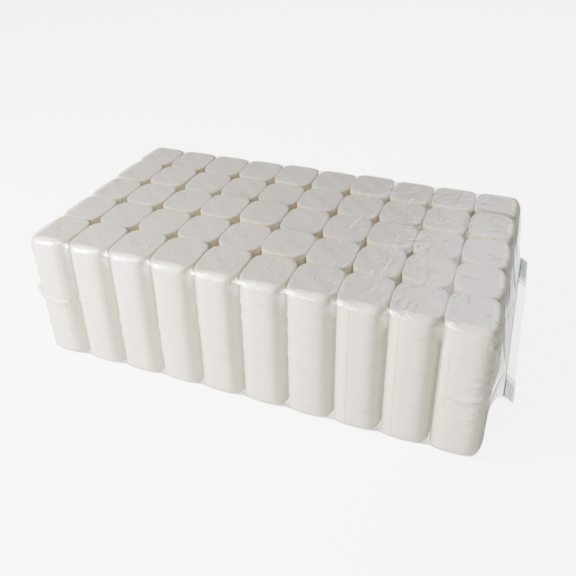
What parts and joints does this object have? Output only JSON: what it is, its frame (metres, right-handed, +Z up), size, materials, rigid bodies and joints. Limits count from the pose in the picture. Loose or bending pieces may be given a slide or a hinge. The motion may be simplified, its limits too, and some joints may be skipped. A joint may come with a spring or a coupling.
{
  "type": "toilet paper roll pack",
  "caption": "Coreless toilet paper rolls standing upright in one close-packed layer, wrapped in a tight clear film bag with a sealed fin at each end.",
  "frame": {"origin": "centre of the flat base that the pack rests on, under the middle of the block of rolls", "axes": "+X along the pack to the end whose sealed fin stands out, +Y from the front row of rolls to the back row, +Z up along the rolls"},
  "size_m": [0.4789, 0.2542, 0.1408],
  "materials": {
    "tissue_paper": "matte, soft",
    "clear_film": "clear, glossy, finely wrinkled"
  },
  "bodies": {
    "root": {"roll_row1_col01": "tissue_paper", "roll_row1_col02": "tissue_paper", "roll_row1_col03": "tissue_paper", "roll_row1_col04": "tissue_paper", "roll_row1_col05": "tissue_paper", "roll_row1_col06": "tissue_paper", "roll_row1_col07": "tissue_paper", "roll_row1_col08": "tissue_paper", "roll_row1_col09": "tissue_paper", "roll_row1_col10": "tissue_paper", "roll_row2_col01": "tissue_paper", "roll_row2_col02": "tissue_paper", "roll_row2_col03": "tissue_paper", "roll_row2_col04": "tissue_paper", "roll_row2_col05": "tissue_paper", "roll_row2_col06": "tissue_paper", "roll_row2_col07": "tissue_paper", "roll_row2_col08": "tissue_paper", "roll_row2_col09": "tissue_paper", "roll_row2_col10": "tissue_paper", "roll_row3_col01": "tissue_paper", "roll_row3_col02": "tissue_paper", "roll_row3_col03": "tissue_paper", "roll_row3_col04": "tissue_paper", "roll_row3_col05": "tissue_paper", "roll_row3_col06": "tissue_paper", "roll_row3_col07": "tissue_paper", "roll_row3_col08": "tissue_paper", "roll_row3_col09": "tissue_paper", "roll_row3_col10": "tissue_paper", "roll_row4_col01": "tissue_paper", "roll_row4_col02": "tissue_paper", "roll_row4_col03": "tissue_paper", "roll_row4_col04": "tissue_paper", "roll_row4_col05": "tissue_paper", "roll_row4_col06": "tissue_paper", "roll_row4_col07": "tissue_paper", "roll_row4_col08": "tissue_paper", "roll_row4_col09": "tissue_paper", "roll_row4_col10": "tissue_paper", "roll_row5_col01": "tissue_paper", "roll_row5_col02": "tissue_paper", "roll_row5_col03": "tissue_paper", "roll_row5_col04": "tissue_paper", "roll_row5_col05": "tissue_paper", "roll_row5_col06": "tissue_paper", "roll_row5_col07": "tissue_paper", "roll_row5_col08": "tissue_paper", "roll_row5_col09": "tissue_paper", "roll_row5_col10": "tissue_paper", "film_bag": "clear_film"}
  },
  "joints": []
}
